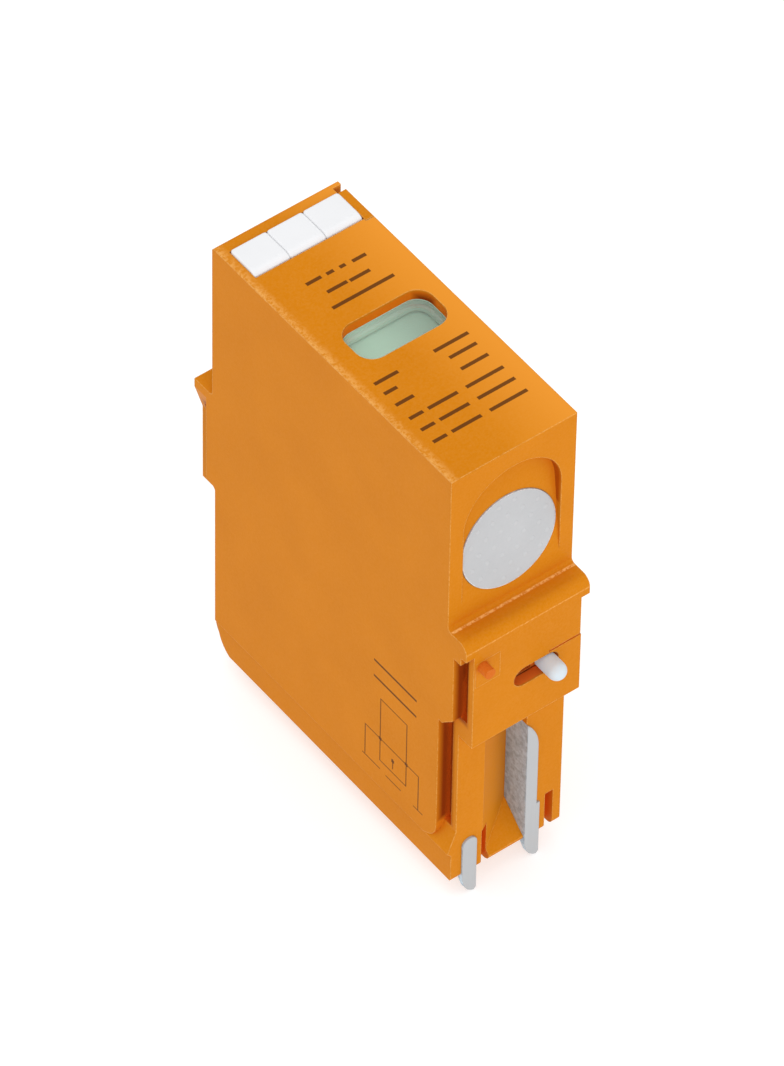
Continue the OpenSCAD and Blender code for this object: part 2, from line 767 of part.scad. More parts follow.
// Wire wound round Y between the front wall and the indicator's stop
module trip_spring() {
  m = 8;
  n = ceil(coil_n * 20);
  h = stop_y - coil_y0 - 2 * wire_r;
  pts = [for (i = [0:n]) for (j = [0:m - 1])
    let (a = i / n * coil_n * 360, b = j * 360 / m, r = coil_r + wire_r * cos(b))
    [coil_x + r * cos(a), coil_y0 + wire_r + h * i / n + wire_r * sin(b), coil_z + r * sin(a)]];
  side = [for (i = [0:n - 1]) for (j = [0:m - 1])
    let (k = (j + 1) % m)
    [i * m + j, i * m + k, (i + 1) * m + k, (i + 1) * m + j]];
  ends = [[for (j = [0:m - 1]) m - 1 - j], [for (j = [0:m - 1]) n * m + j]];
  color([0.6, 0.61, 0.63]) polyhedron(pts, concat(side, ends), convexity = 8);
}

// Insulating saddle over the varistor stack, with the bridge that carries the red panel
module saddle() {
  y1 = mov_l / 2 - 0.1;
  color([0.2, 0.2, 0.21]) {
    for (s = [0, 1])
      mirror([s, 0, 0]) {
        box(saddle_x0, saddle_x1, -y1, y1, mov_lo, mov_hi);
        box(saddle_x0, saddle_x1, bridge_y0, bridge_y1, mov_lo, panel_lo);
      }
    box(-saddle_x1, saddle_x1, bridge_y0, bridge_y1, panel_lo - bridge_t, panel_lo);
  }
}

// Varistor block with round corners
module varistor() {
  color([0.16, 0.3, 0.55]) translate([0, 0, mov_lo + mov_h / 2]) yz(mov_x0, mov_x1)
    round_rect(mov_l, mov_h, 2);
}

module varistor_a() {
  varistor();
}

module varistor_b() {
  mirror([1, 0, 0]) varistor();
}

module mid_plate() {
  color([0.75, 0.5, 0.3]) {
    box(-mid_t / 2, mid_t / 2, -mov_l / 2 + 1, mov_l / 2 - 1, mov_lo + 1, mov_hi - 1);
    box(-mid_t / 2, mid_t / 2, riser_y1 - 2.1, -mov_l / 2 + 2, cav_lo + 0.4, -earth_top - earth_t / 2);
  }
}

// Plate on the outer side of a varistor with the tab that its arm is soldered to
module outer_plate(py) {
  y0 = py + tab_y;
  z0 = pivot_z + heel_dz - 1.5;
  color([0.75, 0.5, 0.3]) {
    box(mov_x1, plate_x1, -mov_l / 2 + 2, mov_l / 2 - 2, mov_lo + 2, mov_hi - 2);
    box(mov_x1, plate_x1, y0, y0 + 2.4, mov_hi - 3, z0 + 3);
    box(arm_x0, plate_x1, y0, y0 + 0.6, z0, z0 + 3);
  }
}

module outer_plate_a() {
  outer_plate(arm_a_y);
}

module outer_plate_b() {
  mirror([1, 0, 0]) outer_plate(arm_b_y);
}

// Solder between a tab and the heel of its arm
module solder(py) {
  y1 = py + tab_y;
  z = pivot_z + heel_dz;
  color(tin) box(arm_x0 + 0.1, arm_x1 - 0.1, y1 - solder_t, y1, z - 1, z + 1);
}

module solder_a() {
  solder(arm_a_y);
}

module solder_b() {
  mirror([1, 0, 0]) solder(arm_b_y);
}

// Disconnector arm, leaning back on its pivot as long as its heel is soldered
module arm(py) {
  color([0.8, 0.6, 0.36]) translate([0, py, pivot_z]) rotate([swing, 0, 0]) difference() {
    union() {
      xbar(arm_x0, arm_x1, 0, 0, pivot_r + 1.2);
      xbar(arm_x0, arm_x1, 0, arm_up, arm_w / 2);
      xbar(arm_x0, arm_x1, 0, -arm_down, arm_w / 2);
      box(arm_x0, arm_x1, -arm_w / 2, arm_w / 2, -arm_down, arm_up);
    }
    xbar(arm_x0 - 1, arm_x1 + 1, 0, 0, pivot_r + pivot_gap);
  }
}

module arm_a() {
  arm(arm_a_y);
}

module arm_b() {
  mirror([1, 0, 0]) arm(arm_b_y);
}

// Rivet through a blade's lug that an arm turns on
module rivet(py) {
  color(tin) {
    xbar(blade_x - 0.5, arm_x1 + 0.2, py, pivot_z, pivot_r);
    xbar(blade_x - 0.5, blade_x, py, pivot_z, pivot_r + 0.6);
    xbar(arm_x1 + 0.1, arm_x1 + 0.5, py, pivot_z, pivot_r + 0.8);
  }
}

module rivet_a() {
  rivet(arm_a_y);
}

module rivet_b() {
  mirror([1, 0, 0]) rivet(arm_b_y);
}

// Line blade with the hole for its rivet
module line_blade(py) {
  color(tin) difference() {
    blade_shape(py);
    xbar(blade_x - 1, blade_x1 + 1, py, pivot_z, pivot_r + 0.02);
  }
}

module blade_front() {
  line_blade(arm_a_y);
}

module blade_rear() {
  rotate([0, 0, 180]) line_blade(-arm_b_y);
}

module blade_earth() {
  color(tin) earth_shape();
}

housing();
cover();
marker_tag_1();
marker_tag_2();
marker_tag_3();
window_lens();
grip_disc_front();
grip_disc_rear();
coding_key();
signal_pin();
indicator_slide();
fault_panel();
trip_spring();
saddle();
varistor_a();
varistor_b();
mid_plate();
outer_plate_a();
outer_plate_b();
solder_a();
solder_b();
arm_a();
arm_b();
rivet_a();
rivet_b();
blade_front();
blade_rear();
blade_earth();
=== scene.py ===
import math

import bpy
import numpy as np
from mathutils import Matrix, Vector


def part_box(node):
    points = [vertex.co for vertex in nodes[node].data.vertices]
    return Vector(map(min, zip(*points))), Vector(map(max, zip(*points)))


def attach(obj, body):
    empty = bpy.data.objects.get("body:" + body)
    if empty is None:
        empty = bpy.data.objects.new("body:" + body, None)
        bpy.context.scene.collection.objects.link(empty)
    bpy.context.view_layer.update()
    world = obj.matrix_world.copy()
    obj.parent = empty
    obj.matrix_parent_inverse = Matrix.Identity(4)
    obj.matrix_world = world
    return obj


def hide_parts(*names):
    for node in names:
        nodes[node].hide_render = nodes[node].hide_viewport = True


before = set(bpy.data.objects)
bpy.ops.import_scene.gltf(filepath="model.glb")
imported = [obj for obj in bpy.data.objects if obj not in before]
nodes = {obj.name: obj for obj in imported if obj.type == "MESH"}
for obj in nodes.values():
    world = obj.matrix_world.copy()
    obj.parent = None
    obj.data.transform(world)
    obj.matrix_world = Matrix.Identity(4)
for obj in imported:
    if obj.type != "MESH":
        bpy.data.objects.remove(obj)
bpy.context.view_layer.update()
mm = 0.001  # all sizes below are in millimetres and are multiplied by this
noiseSpan = (0.3, 0.7)  # most of a noise lies between these two values
bumpDepth = 0.05  # full height of the grain in every finish
print("frame loaded:", len(nodes), "nodes")


def feed(tree, socket, value):
    # a socket is linked, a plain number or colour is set on the socket itself
    if isinstance(value, bpy.types.NodeSocket):
        tree.links.new(value, socket)
    else:
        socket.default_value = value


def calc(tree, operation, *values):
    node = tree.nodes.new("ShaderNodeMath")
    node.operation = operation
    for socket, value in zip(node.inputs, values):
        feed(tree, socket, value)
    return node.outputs[0]


def vectorCalc(tree, operation, *values):
    node = tree.nodes.new("ShaderNodeVectorMath")
    node.operation = operation
    for socket, value in zip(node.inputs, values):
        feed(tree, socket, value)
    return node.outputs["Value" if operation in ("DOT_PRODUCT", "DISTANCE") else "Vector"]


def mapTo(tree, value, fromLow, fromHigh, toLow=0.0, toHigh=1.0):
    node = tree.nodes.new("ShaderNodeMapRange")
    for socket, number in zip(node.inputs, (value, fromLow, fromHigh, toLow, toHigh)):
        feed(tree, socket, number)
    return node.outputs[0]


def blendColour(tree, share, first, second):
    node = tree.nodes.new("ShaderNodeMix")
    node.data_type = "RGBA"
    feed(tree, node.inputs[0], share)
    for socket, colour in ((node.inputs[6], first), (node.inputs[7], second)):  # the two colour sockets
        feed(tree, socket, colour if isinstance(colour, bpy.types.NodeSocket) else (*colour, 1.0))
    return node.outputs[2]


def noiseAt(tree, vector, scale, detail=2.0, roughness=0.5):
    node = tree.nodes.new("ShaderNodeTexNoise")
    feed(tree, node.inputs["Vector"], vector)
    feed(tree, node.inputs["Scale"], scale)
    node.inputs["Detail"].default_value = detail
    node.inputs["Roughness"].default_value = roughness
    return node.outputs["Fac"]


def placeIn(tree):
    return tree.nodes.new("ShaderNodeTexCoord").outputs["Object"]


def normalIn(tree):
    return tree.nodes.new("ShaderNodeNewGeometry").outputs["Normal"]


def splitAxes(tree, vector):
    node = tree.nodes.new("ShaderNodeSeparateXYZ")
    feed(tree, node.inputs[0], vector)
    return node.outputs


def boxGap(tree, place, low, high):
    # distance of a point outside a box given in millimetres, below zero inside it
    centre = tuple((a + b) / 2 * mm for a, b in zip(low, high))
    half = tuple((b - a) / 2 * mm for a, b in zip(low, high))
    away = vectorCalc(tree, "ABSOLUTE", vectorCalc(tree, "SUBTRACT", place, centre))
    gaps = splitAxes(tree, vectorCalc(tree, "SUBTRACT", away, half))
    return calc(tree, "MAXIMUM", calc(tree, "MAXIMUM", gaps[0], gaps[1]), gaps[2])


def newGroup(name, inputs, outputs):
    tree = bpy.data.node_groups.new(name, "ShaderNodeTree")
    for label, number in inputs.items():
        socket = tree.interface.new_socket(name=label, in_out="INPUT", socket_type="NodeSocketFloat")
        socket.default_value = number
    for label, kind in outputs.items():
        tree.interface.new_socket(name=label, in_out="OUTPUT", socket_type=kind)
    return tree, tree.nodes.new("NodeGroupInput").outputs, tree.nodes.new("NodeGroupOutput").inputs


def placeGroup(tree, group, values):
    node = tree.nodes.new("ShaderNodeGroup")
    node.node_tree = group
    for label, number in values.items():
        node.inputs[label].default_value = number
    return node.outputs


# fine moulded grain, and slow tone patches some millimetres wide; scales are per metre
mouldGrain, given, wanted = newGroup(
    "mouldGrain", {"Grain scale": 3600.0, "Patch scale": 120.0},
    {"Grain": "NodeSocketFloat", "Patch": "NodeSocketFloat"})
place = placeIn(mouldGrain)
feed(mouldGrain, wanted["Grain"],
     noiseAt(mouldGrain, place, given["Grain scale"], detail=3.0, roughness=0.6))
feed(mouldGrain, wanted["Patch"], noiseAt(mouldGrain, place, given["Patch scale"]))

# a rounded normal along every sharp edge, and a mask of those edges, from the cosine between the
# rounded and the flat normal
edgeTurn = {"slight": 0.99, "full": 0.86}
softEdge, given, wanted = newGroup(
    "softEdge", {"Radius": 0.0002}, {"Normal": "NodeSocketVector", "Edge": "NodeSocketFloat"})
rounding = softEdge.nodes.new("ShaderNodeBevel")
rounding.samples = 6
feed(softEdge, rounding.inputs["Radius"], given["Radius"])
turned = vectorCalc(softEdge, "DOT_PRODUCT", rounding.outputs["Normal"], normalIn(softEdge))
feed(softEdge, wanted["Normal"], rounding.outputs["Normal"])
feed(softEdge, wanted["Edge"], mapTo(softEdge, turned, edgeTurn["slight"], edgeTurn["full"]))

# painted shade from ambient occlusion: how far a point lies in a corner (Recess) or down a narrow notch (Deep)
# of its own piece, 0 in the open; the three shares say how open such a place is
openShare = {"flat": 0.84, "corner": 0.42, "notch": 0.22}
recessShade, given, wanted = newGroup(
    "recessShade", {"Reach": 0.003}, {"Recess": "NodeSocketFloat", "Deep": "NodeSocketFloat"})
openness = recessShade.nodes.new("ShaderNodeAmbientOcclusion")
openness.samples = 8
openness.only_local = True
feed(recessShade, openness.inputs["Distance"], given["Reach"])
for label, more, less in (("Recess", "flat", "corner"), ("Deep", "corner", "notch")):
    feed(recessShade, wanted[label],
         mapTo(recessShade, openness.outputs["AO"], openShare[more], openShare[less]))

# sparse small flecks, in about a third of the cells of a random net
netFleck = {"rim": 0.030, "core": 0.012, "chosenAbove": 0.66}
strayFleck, given, wanted = newGroup("strayFleck", {"Net scale": 260.0}, {"Fleck": "NodeSocketFloat"})
net = strayFleck.nodes.new("ShaderNodeTexVoronoi")
feed(strayFleck, net.inputs["Vector"], placeIn(strayFleck))
feed(strayFleck, net.inputs["Scale"], given["Net scale"])
cell = strayFleck.nodes.new("ShaderNodeSeparateColor")
feed(strayFleck, cell.inputs[0], net.outputs["Color"])
near = mapTo(strayFleck, net.outputs["Distance"], netFleck["rim"], netFleck["core"])
chosen = calc(strayFleck, "GREATER_THAN", cell.outputs[0], netFleck["chosenAbove"])
feed(strayFleck, wanted["Fleck"], calc(strayFleck, "MULTIPLY", near, chosen))

# rolled sheet: streaks drawn out along Z, mottled plating, and a mask of the flat faces that look along X
rolling = {"drawnOut": (1.0, 1.0, 0.06), "faceFrom": 0.7, "faceTo": 0.95}
rolledSheet, given, wanted = newGroup(
    "rolledSheet", {"Streak scale": 2500.0, "Mottle scale": 900.0},
    {"Streak": "NodeSocketFloat", "Mottle": "NodeSocketFloat", "Face": "NodeSocketFloat"})
place = placeIn(rolledSheet)
drawnOut = vectorCalc(rolledSheet, "MULTIPLY", place, rolling["drawnOut"])
feed(rolledSheet, wanted["Streak"],
     noiseAt(rolledSheet, drawnOut, given["Streak scale"], roughness=0.6))
feed(rolledSheet, wanted["Mottle"],
     noiseAt(rolledSheet, place, given["Mottle scale"], detail=3.0, roughness=0.65))
sideways = calc(rolledSheet, "ABSOLUTE", splitAxes(rolledSheet, normalIn(rolledSheet))[0])
feed(rolledSheet, wanted["Face"], mapTo(rolledSheet, sideways, rolling["faceFrom"], rolling["faceTo"]))

# plain printed bars on the top face, as (from x, to x, y), each as wide as two halves; the ink reaches
# from low to high in z
topPrint = {
    "bars": [(-3.7, -1.6, 11.2), (-0.9, 0.1, 11.15), (0.9, 1.7, 11.1), (2.6, 4.5, 11.0), (-2.5, 0.3, 8.9),
             (0.6, 3.4, 8.8), (-3.5, 5.1, 6.6), (-6.7, -3.4, -5.3), (1.6, 6.4, -5.3), (-6.7, -4.9, -7.1),
             (2.4, 6.2, -7.1), (-6.7, -4.2, -9.2), (2.4, 6.2, -9.2), (-6.7, -4.8, -11.7),
             (-4.1, 0.0, -11.7), (1.2, 6.4, -11.7), (-6.7, -4.8, -13.8), (-4.1, 0.0, -13.8),
             (1.2, 6.4, -13.8), (-6.7, -4.8, -16.0), (-4.1, 0.0, -16.0), (1.2, 6.4, -16.0)],
    "half": 0.25,
    "low": 26.6,
    "high": 27.6,
}
# plain sketch on the left side, as (from y, to y, from z, to z), with square dots at (y, z) and two
# rows above it; the ink reaches from low to high in x
sidePrint = {
    "lines": [(-15.0, -10.1, -20.4, -20.4), (-15.0, -10.1, -31.1, -31.1), (-10.1, -10.1, -31.1, -20.4),
              (-15.0, -15.0, -31.1, -20.4), (-17.3, -7.3, -27.3, -27.3), (-7.3, -7.3, -32.4, -27.3),
              (-17.3, -17.3, -33.1, -27.3), (-10.1, -6.9, -32.6, -32.6), (-14.0, -11.3, -32.8, -32.8),
              (-18.1, -16.5, -33.2, -33.2), (-12.5, -12.5, -30.4, -28.8)],
    "half": 0.08,
    "dots": [(-15.0, -27.3), (-10.1, -27.3), (-12.5, -29.1)],
    "dotHalf": 0.26,
    "rows": [(-16.5, -8.9, -14.7, -14.7), (-16.5, -8.9, -17.4, -17.4)],
    "rowHalf": 0.17,
    "low": -9.0,
    "high": -8.5,
}
inkEdge = {"raggedScale": 9000.0, "ragged": 0.04, "soft": 0.02}


def printedBoxes():
    # each bar as the low and high corner of a thin box at the face it is printed on
    half, low, high = topPrint["half"], topPrint["low"], topPrint["high"]
    boxes = [((x0, y - half, low), (x1, y + half, high)) for x0, x1, y in topPrint["bars"]]
    low, high = sidePrint["low"], sidePrint["high"]
    dots = [(y, y, z, z) for y, z in sidePrint["dots"]]
    for lines, half in ((sidePrint["lines"], sidePrint["half"]), (dots, sidePrint["dotHalf"]),
                        (sidePrint["rows"], sidePrint["rowHalf"])):
        boxes += [((low, y0 - half, z0 - half), (high, y1 + half, z1 + half)) for y0, y1, z0, z1 in lines]
    return boxes


printInk, given, wanted = newGroup("printInk", {}, {"Ink": "NodeSocketFloat"})
place = placeIn(printInk)
inked = None
for low, high in printedBoxes():
    gap = boxGap(printInk, place, low, high)
    inked = gap if inked is None else calc(printInk, "MINIMUM", inked, gap)
ragged = mapTo(printInk, noiseAt(printInk, place, inkEdge["raggedScale"]), 0.0, 1.0,
               -inkEdge["ragged"] * mm, inkEdge["ragged"] * mm)
inked = calc(printInk, "ADD", inked, ragged)
feed(printInk, wanted["Ink"], mapTo(printInk, inked, inkEdge["soft"] * mm, -inkEdge["soft"] * mm))
print("surface groups made:", [g.name for g in bpy.data.node_groups])


def newFinish(name):
    finish = bpy.data.materials.new(name)
    finish.use_nodes = True
    return finish, finish.node_tree, finish.node_tree.nodes["Principled BSDF"]


def roughSurface(tree, shader, look, gloss, height, edge):
    # roughness swings with one noise, and another stands up as bump over the rounded edges
    less, more = look["swing"]
    feed(tree, shader.inputs["Roughness"],
         mapTo(tree, gloss, *noiseSpan, look["rough"] - less, look["rough"] + more))
    bump = tree.nodes.new("ShaderNodeBump")
    bump.inputs["Strength"].default_value = look["bump"]
    bump.inputs["Distance"].default_value = bumpDepth * mm
    feed(tree, bump.inputs["Height"], height)
    feed(tree, bump.inputs["Normal"], edge["Normal"])
    feed(tree, shader.inputs["Normal"], bump.outputs["Normal"])


def paintHighlightLines(tree, highlightLines):
    # painted highlights: pale specks along the creases, each at (y, z) along X, and in a strip beside the long
    # top edge
    place = placeIn(tree)
    endOn = vectorCalc(tree, "MULTIPLY", place, (0.0, 1.0, 1.0))
    axes = splitAxes(tree, place)
    strip = mapTo(tree, axes[0], highlightLines["stripFrom"] * mm, highlightLines["stripTo"] * mm, highlightLines["stripShare"], 0.0)
    onTop = calc(tree, "GREATER_THAN", axes[2], highlightLines["stripAbove"] * mm)
    mask = calc(tree, "MULTIPLY", strip, onTop)
    for y, z, half, share in highlightLines["creases"]:
        away = vectorCalc(tree, "DISTANCE", endOn, (0.0, y * mm, z * mm))
        crease = mapTo(tree, away, half * highlightLines["core"] * mm, half * mm, share, 0.0)
        mask = calc(tree, "MAXIMUM", mask, crease)
    specks = noiseAt(tree, place, highlightLines["speckScale"], detail=3.0, roughness=0.7)
    return calc(tree, "MULTIPLY", mask, mapTo(tree, specks, *highlightLines["speckSpan"], highlightLines["least"], 1.0))


def paintShadeAndColour(tree, colour, shadeAndColour):
    # paints the tone of each of these boxes of (|x|, y, z) into the colour, fading in over a soft margin:
    # mostly painted shade and painted light, one a plain colour; those in walls leave out the faces that look
    # along Y
    axes = splitAxes(tree, placeIn(tree))
    folded = tree.nodes.new("ShaderNodeCombineXYZ")
    for socket, value in zip(folded.inputs, (calc(tree, "ABSOLUTE", axes[0]), axes[1], axes[2])):
        feed(tree, socket, value)
    alongY = calc(tree, "ABSOLUTE", splitAxes(tree, normalIn(tree))[1])
    across = mapTo(tree, alongY, *shadeAndColour["wallTurn"], 1.0, 0.0)
    for boxes, share in ((shadeAndColour["boxes"], 1.0), (shadeAndColour["walls"], across)):
        for low, high, soft, tone in boxes:
            inside = mapTo(tree, boxGap(tree, folded.outputs[0], low, high), 0.0, -soft * mm, 0.0, share)
            colour = blendColour(tree, inside, colour, shadeAndColour[tone])
    return colour


def paintTopLight(tree, colour, topLight):
    # painted light: the top face grows paler towards +X
    axes = splitAxes(tree, placeIn(tree))
    share = mapTo(tree, axes[0], topLight["from"] * mm, topLight["to"] * mm)
    onTop = calc(tree, "GREATER_THAN", axes[2], topLight["above"] * mm)
    return blendColour(tree, calc(tree, "MULTIPLY", share, onTop), colour, topLight["colour"])


# moulded plastic: where in the grain specks show, where the pale edges show, which are partly wear and partly
# painted highlight, and how far into a hollow they go
wearAndHighlightSpans = {"speckSpan": (0.35, 0.75), "hollowSpan": (0.05, 0.3), "grainSpan": (0.42, 0.58), "least": 0.35}


def mouldedPlastic(name, look, printed=None, tip=None, highlightLines=None, shadeAndColour=None):
    # colour drifts between two close tones, painted shade darkens the hollows, open edges are paled in specks,
    # partly as wear and partly as painted highlight
    finish, tree, shader = newFinish(name)
    grain = placeGroup(tree, mouldGrain, {"Grain scale": look["grain"], "Patch scale": look["patch"]})
    edge = placeGroup(tree, softEdge, {"Radius": look["round"] * mm})
    hollow = placeGroup(tree, recessShade, {"Reach": look["reach"] * mm})
    fleck = placeGroup(tree, strayFleck, {"Net scale": look["fleckNet"]})["Fleck"]
    colour = blendColour(tree, mapTo(tree, grain["Patch"], *noiseSpan), look["deep"], look["pale"])
    if tip is not None:
        # the end that stands out past the face gets a colour of its own; on the signal pin it is its own grey,
        # on the coding key a darker red that is painted shade
        beyond = calc(tree, "LESS_THAN", splitAxes(tree, placeIn(tree))[1], tip["past"] * mm)
        colour = blendColour(tree, beyond, colour, tip["colour"])
    speck = mapTo(tree, grain["Grain"], *wearAndHighlightSpans["speckSpan"], 0.0, look["speck"])
    colour = blendColour(tree, speck, colour, look["rim"])
    # painted shade: corners of the piece go towards the shade tone
    sunk = calc(tree, "MULTIPLY", hollow["Recess"], look["hollow"])
    colour = blendColour(tree, sunk, colour, look["hollowTone"])
    # painted shade and painted light from the shell's boxes, and painted light on the top
    if shadeAndColour is not None:
        colour = paintTopLight(tree, paintShadeAndColour(tree, colour, shadeAndColour), shadeAndColour["topLight"])
        # painted red shade deep in narrow notches
        colour = blendColour(tree, hollow["Deep"], colour, shadeAndColour["notch"])
    # pale edges, partly wear and partly painted highlight, only in the open
    inOpen = mapTo(tree, hollow["Recess"], *wearAndHighlightSpans["hollowSpan"], look["wear"], 0.0)
    patchy = mapTo(tree, grain["Grain"], *wearAndHighlightSpans["grainSpan"], wearAndHighlightSpans["least"], 1.0)
    wornAndHighlitEdges = calc(tree, "MULTIPLY", calc(tree, "MULTIPLY", edge["Edge"], inOpen), patchy)
    # painted highlights along the creases and the top edge
    if highlightLines is not None:
        wornAndHighlitEdges = calc(tree, "MAXIMUM", wornAndHighlitEdges, paintHighlightLines(tree, highlightLines))
    colour = blendColour(tree, wornAndHighlitEdges, colour, look["rim"])
    colour = blendColour(tree, calc(tree, "MULTIPLY", fleck, look["fleck"]), colour, look["hollowTone"])
    if printed is not None:
        inked = placeGroup(tree, printInk, {})["Ink"]
        colour = blendColour(tree, calc(tree, "MULTIPLY", inked, printed["cover"]), colour, printed["colour"])
    feed(tree, shader.inputs["Base Color"], colour)
    shader.inputs["Specular IOR Level"].default_value = look["shine"]
    shader.inputs["Specular Tint"].default_value = (*look["gleam"], 1.0)
    # painted glow: the piece emits its own pale tone though it is no lamp
    shader.inputs["Emission Color"].default_value = (*look["pale"], 1.0)
    shader.inputs["Emission Strength"].default_value = look["glow"]
    roughSurface(tree, shader, look, grain["Grain"], grain["Grain"], edge)
    return finish


def platedMetal(name, look):
    # flat faces are mottled in two tones, cut edges are plain, drawn streaks show in the gloss; painted shade
    # darkens the hollows, and edges get a pale rim that is partly wear and partly painted highlight
    finish, tree, shader = newFinish(name)
    sheet = placeGroup(tree, rolledSheet, {"Streak scale": look["streak"], "Mottle scale": look["mottle"]})
    edge = placeGroup(tree, softEdge, {"Radius": look["round"] * mm})
    recess = placeGroup(tree, recessShade, {"Reach": look["reach"] * mm})["Recess"]
    mottled = mapTo(tree, sheet["Mottle"], *look["mottleSpan"])
    colour = blendColour(tree, mottled, look["deep"], look["pale"])
    colour = blendColour(tree, sheet["Face"], look["cut"], colour)
    # painted shade: hollows go towards the deep tone
    colour = blendColour(tree, calc(tree, "MULTIPLY", recess, look["hollow"]), colour, look["deep"])
    colour = blendColour(tree, calc(tree, "MULTIPLY", edge["Edge"], look["wear"]), colour, look["rim"])
    feed(tree, shader.inputs["Base Color"], colour)
    shader.inputs["Metallic"].default_value = look["metal"]
    shader.inputs["Specular IOR Level"].default_value = look["shine"]
    roughSurface(tree, shader, look, sheet["Streak"], calc(tree, "ADD", sheet["Streak"], sheet["Mottle"]), edge)
    return finish


def plasticLook(**own):
    # what most of the moulded plastics share, with each one's own values over it
    return {"wear": 0.35, "speck": 0.08, "rough": 0.45, "swing": (0.06, 0.06), "shine": 0.25,
            "gleam": (1.0, 1.0, 1.0), "grain": 3600.0, "patch": 200.0, "round": 0.14, "bump": 0.2,
            "reach": 2.5, "hollow": 0.6, "fleck": 0.3, "fleckNet": 260.0, "glow": 0.0, **own}


def metalLook(**own):
    # what most of the metals share, with each one's own values over it
    return {"wear": 0.5, "metal": 1.0, "shine": 0.3, "swing": (0.08, 0.1), "round": 0.12, "bump": 0.25,
            "reach": 1.5, "hollow": 0.5, "mottleSpan": (0.32, 0.62), **own}


shell = plasticLook(deep=(0.572, 0.183, 0.0045), pale=(0.604, 0.197, 0.0055), rim=(0.90, 0.50, 0.16),
                    hollowTone=(0.620, 0.120, 0.004), wear=0.75, rough=0.36, shine=0.02,
                    gleam=(1.0, 0.55, 0.15), patch=110.0, round=0.2, hollow=0.5, reach=3.0, fleckNet=180.0)
# each crease is (y, z, half its width, how strongly its painted highlight shows), brightest in its core
shellHighlightLines = {"creases": [(-22.62, 2.42, 0.24, 0.9), (-25.38, 1.1, 0.16, 0.4)], "core": 0.4,
             "stripFrom": -8.6, "stripTo": -7.5, "stripShare": 0.5, "stripAbove": 26.95,
             "speckScale": 2600.0, "speckSpan": (0.40, 0.58), "least": 0.1}
# each box is its low and high corner, its soft margin and the name of its tone: painted shade in the channels,
# the slot, the scoop walls and the window's corner (a painted shadow), painted light on the window walls, and
# the plain pale green of the seat under the pane
shellShadeAndColour = {
    "channel": (0.245, 0.036, 0.004), "slot": (0.800, 0.160, 0.020), "window": (0.720, 0.170, 0.006),
    "notch": (0.760, 0.130, 0.010), "scoop": (0.420, 0.085, 0.004), "corner": (0.260, 0.045, 0.004),
    "underPane": (0.600, 0.820, 0.700),
    "boxes": [((5.6, -24.8, -13.0), (8.75, -21.8, -0.2), 0.9, "channel"),
              ((5.6, -22.5, -32.3), (8.75, -19.3, -13.0), 0.9, "channel"),
              ((5.6, 21.8, -13.0), (8.75, 24.8, -0.2), 0.9, "channel"),
              ((5.6, 20.1, -32.3), (8.75, 22.5, -13.0), 0.9, "channel"),
              ((-1.0, -25.35, -11.0), (5.3, -17.0, -5.5), 0.3, "slot"),
              ((-1.0, -3.2, 24.0), (7.3, 4.4, 27.0), 0.4, "window"),
              ((5.0, 0.8, 24.0), (7.9, 5.0, 26.9), 1.0, "corner"),
              ((-1.0, -3.3, 22.0), (7.4, 4.5, 25.58), 0.03, "underPane")],
    "walls": [((4.0, -21.95, 13.0), (7.4, -18.0, 24.2), 0.5, "scoop"),
              ((4.0, 18.0, 13.0), (7.4, 21.95, 24.2), 0.5, "scoop")],
    "wallTurn": (0.3, 0.7),
    "topLight": {"from": -1.0, "to": 8.0, "above": 26.95, "colour": (0.740, 0.272, 0.028)},
}
ink = {"colour": (0.070, 0.022, 0.009), "cover": 0.86}
keyBlock = {**shell, "round": 0.08, "reach": 1.0, "wear": 0.3}
# the key's pin is painted a darker red as shade
keyPinShade = {"past": -25.4, "colour": (0.60, 0.13, 0.010)}
# the slider in the slot takes the slot's painted red shade
pinSliderShade = {**shell, "deep": (0.660, 0.140, 0.014), "pale": (0.700, 0.155, 0.016)}
pinTip = {"past": -24.4, "colour": (0.59, 0.67, 0.73)}
whiteTag = plasticLook(deep=(0.745, 0.750, 0.765), pale=(0.765, 0.770, 0.785), rim=(0.84, 0.84, 0.85),
                       hollowTone=(0.52, 0.50, 0.48), shine=0.2, grain=3000.0, bump=0.1, hollow=0.3,
                       fleck=0.1)
greyGrip = plasticLook(deep=(0.458, 0.465, 0.476), pale=(0.482, 0.489, 0.500), rim=(0.92, 0.90, 0.88),
                       hollowTone=(0.26, 0.22, 0.19), wear=1.0, speck=0.04, rough=0.55, shine=0.15,
                       grain=2600.0, patch=260.0, round=0.3, bump=0.25)
gripDot = {**greyGrip, "deep": (0.482, 0.489, 0.500), "pale": (0.504, 0.511, 0.522), "wear": 0.0,
           "hollow": 0.0, "round": 0.02}
greenFlag = plasticLook(deep=(0.50, 0.76, 0.60), pale=(0.54, 0.80, 0.64), rim=(0.62, 0.85, 0.70),
                        hollowTone=(0.16, 0.28, 0.18))
redPanel = plasticLook(deep=(0.72, 0.022, 0.014), pale=(0.80, 0.030, 0.018), rim=(0.84, 0.12, 0.09),
                       hollowTone=(0.24, 0.010, 0.008), glow=0.35)  # painted glow: it emits so it shows in its dark pocket
blackSaddle = plasticLook(deep=(0.025, 0.025, 0.027), pale=(0.040, 0.040, 0.042), rim=(0.09, 0.09, 0.09),
                          hollowTone=(0.012, 0.012, 0.012), rough=0.5, shine=0.4, bump=0.3)
blueCoat = plasticLook(deep=(0.020, 0.085, 0.26), pale=(0.030, 0.115, 0.33), rim=(0.08, 0.20, 0.44),
                       hollowTone=(0.010, 0.040, 0.12), rough=0.35, shine=0.5, grain=900.0, round=0.4,
                       bump=0.5)
